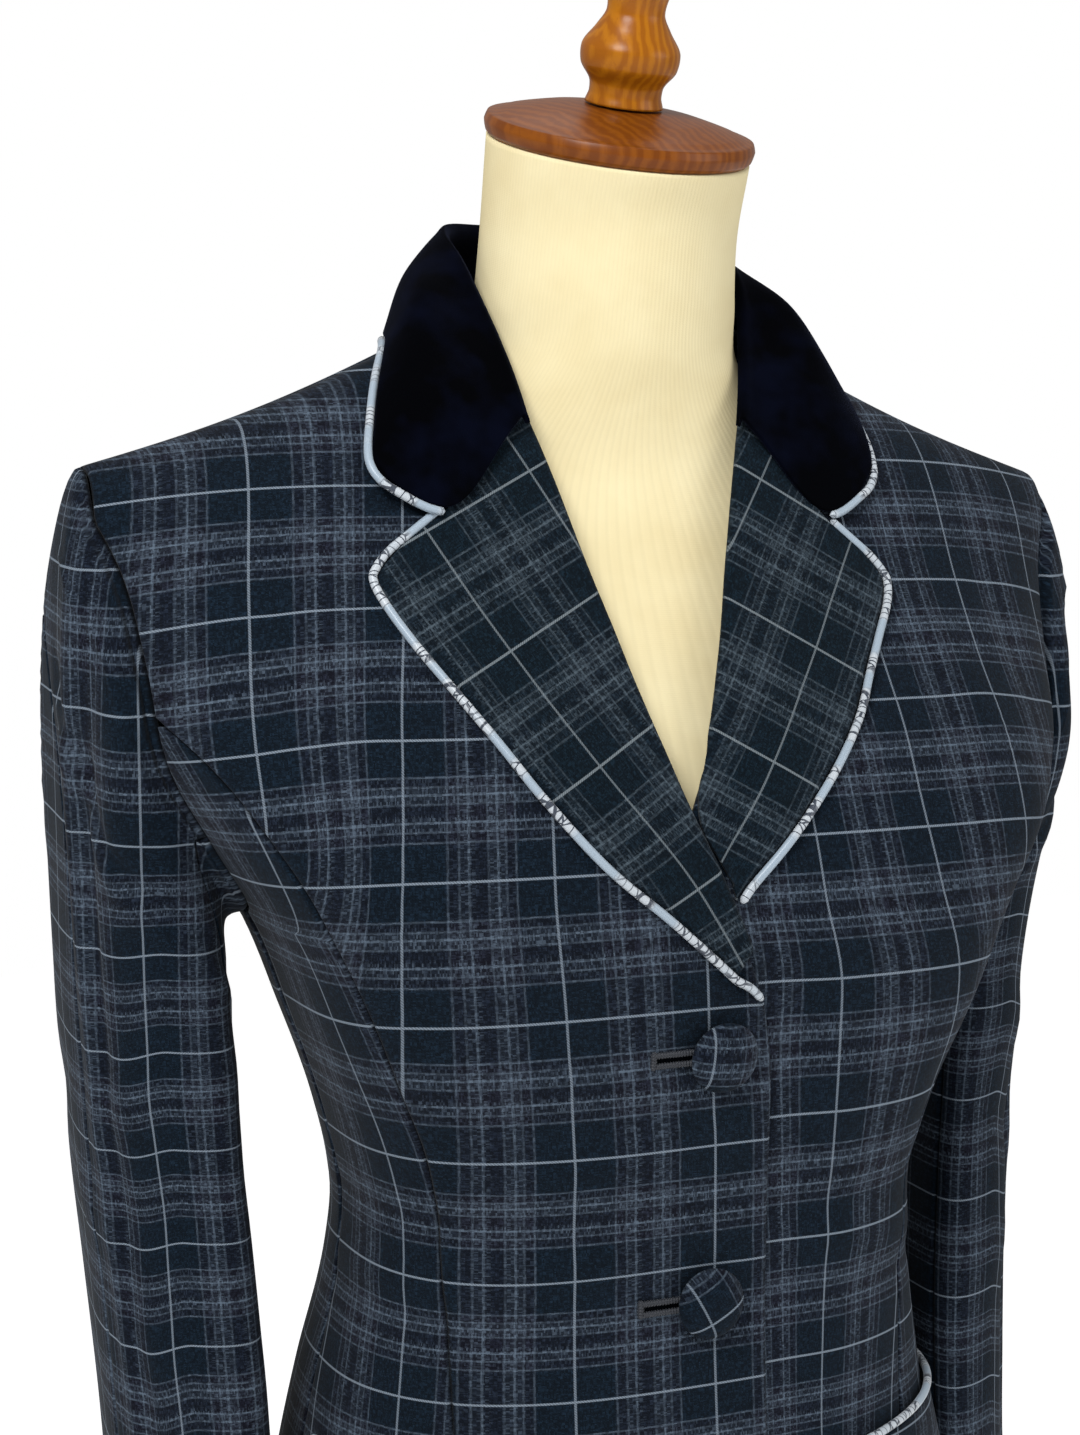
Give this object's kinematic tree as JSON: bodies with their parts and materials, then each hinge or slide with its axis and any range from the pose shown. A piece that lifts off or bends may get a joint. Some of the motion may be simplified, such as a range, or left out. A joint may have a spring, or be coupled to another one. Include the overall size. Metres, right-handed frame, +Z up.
{
  "type": "equestrian show coat on a limbless dress form",
  "caption": "Buttoned equestrian show coat in dark checked wool with a velvet collar and satin piping, worn by a limbless dress form on a pole and a round base.",
  "frame": {"origin": "on the floor, at the centre of the round base's underside", "axes": "+Z up; the coat's front faces -Y; the wearer's left is +X"},
  "size_m": [0.4532, 0.38, 1.5753],
  "materials": {
    "checked_wool": "dark navy twill with a pale windowpane check, matt",
    "facing_wool": "the same twill, cut along the lapel, matt",
    "navy_velvet": "short velvet pile",
    "silver_satin": "woven silver blue ribbon, soft shine",
    "covered_button": "button covered with the coat's cloth, matt",
    "cream_knit": "fine ribbed knit cover, matt",
    "stained_wood": "orange brown stain, semi-gloss",
    "amber_wood": "clear varnish, semi-gloss",
    "stand_wood": "orange brown stain, semi-gloss"
  },
  "bodies": {
    "root": {"right_front": "checked_wool", "left_front": "checked_wool", "right_side_front": "checked_wool", "left_side_front": "checked_wool", "right_side_back": "checked_wool", "left_side_back": "checked_wool", "right_back": "checked_wool", "left_back": "checked_wool", "right_upper_sleeve": "checked_wool", "left_upper_sleeve": "checked_wool", "right_under_sleeve": "checked_wool", "left_under_sleeve": "checked_wool", "right_pocket_flap": "checked_wool", "left_pocket_flap": "checked_wool", "right_lapel": "facing_wool", "left_lapel": "facing_wool", "collar": "navy_velvet", "collar_piping": "silver_satin", "right_lapel_piping": "silver_satin", "left_lapel_piping": "silver_satin", "right_pocket_piping": "silver_satin", "left_pocket_piping": "silver_satin", "button_1": "covered_button", "button_2": "covered_button", "button_3": "covered_button", "form_torso": "cream_knit", "neck_cap": "stained_wood", "finial": "amber_wood", "pole": "stand_wood", "base": "stand_wood"}
  },
  "joints": []
}
